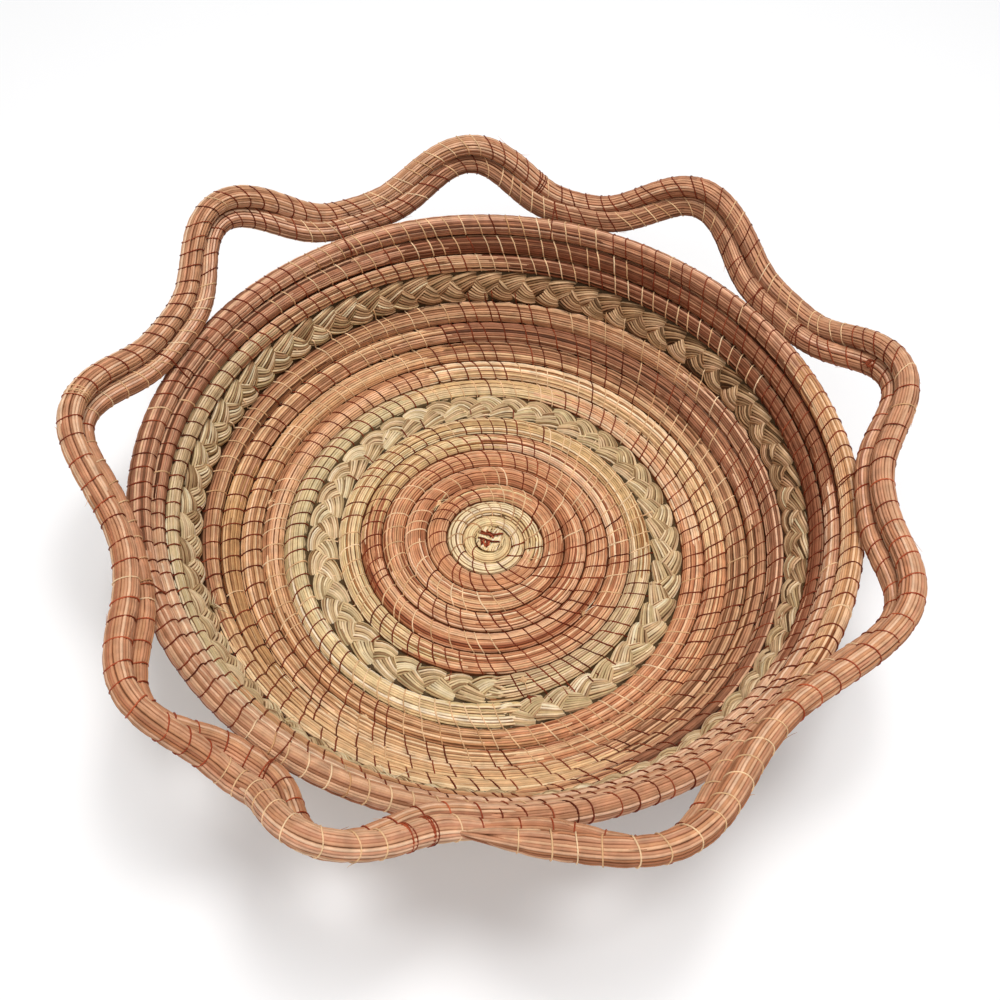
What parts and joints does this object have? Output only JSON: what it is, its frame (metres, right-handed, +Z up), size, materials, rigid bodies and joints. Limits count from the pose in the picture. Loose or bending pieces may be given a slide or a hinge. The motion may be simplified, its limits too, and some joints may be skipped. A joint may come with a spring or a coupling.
{
  "type": "pine needle basket",
  "caption": "Round open bowl of coiled pine needles sewn in a spiral, with braided rounds in its floor and wall and a scalloped double-strand border of open loops.",
  "frame": {"origin": "on the bowl's axis, at the middle of the flat foot that the basket stands on", "axes": "+Z up out of the bowl's mouth; +X and +Y in the plane it stands on, with the ends of the braids and of the border towards -Y"},
  "size_m": [0.2912, 0.2933, 0.0857],
  "materials": {
    "thread": "waxed red-brown sewing thread",
    "pale_thread": "natural cream sewing thread",
    "cream_needles": "dry pale pine needles, satin",
    "russet_needles": "dry russet pine needles, satin",
    "straw_needles": "dry straw pine needles, satin",
    "green_needles": "dry pale green pine needles, satin",
    "pink_needles": "dry pink-brown pine needles, satin",
    "tan_needles": "dry tan pine needles, satin",
    "brown_needles": "dry brown pine needles, satin"
  },
  "bodies": {
    "root": {"centre_knot": "thread", "start_coil": "cream_needles", "base_coil": "russet_needles", "straw_coil": "straw_needles", "inner_braid": "green_needles", "pale_shoulder_coil": "green_needles", "shoulder_coil": "pink_needles", "pink_wall_coil": "pink_needles", "tan_wall_coil": "tan_needles", "straw_wall_coil": "straw_needles", "russet_wall_coil": "russet_needles", "outer_braid": "green_needles", "pale_lip_coil": "tan_needles", "russet_lip_coil": "russet_needles", "rim_coil": "brown_needles", "inner_scallop": "brown_needles", "outer_scallop": "russet_needles"}
  },
  "joints": []
}
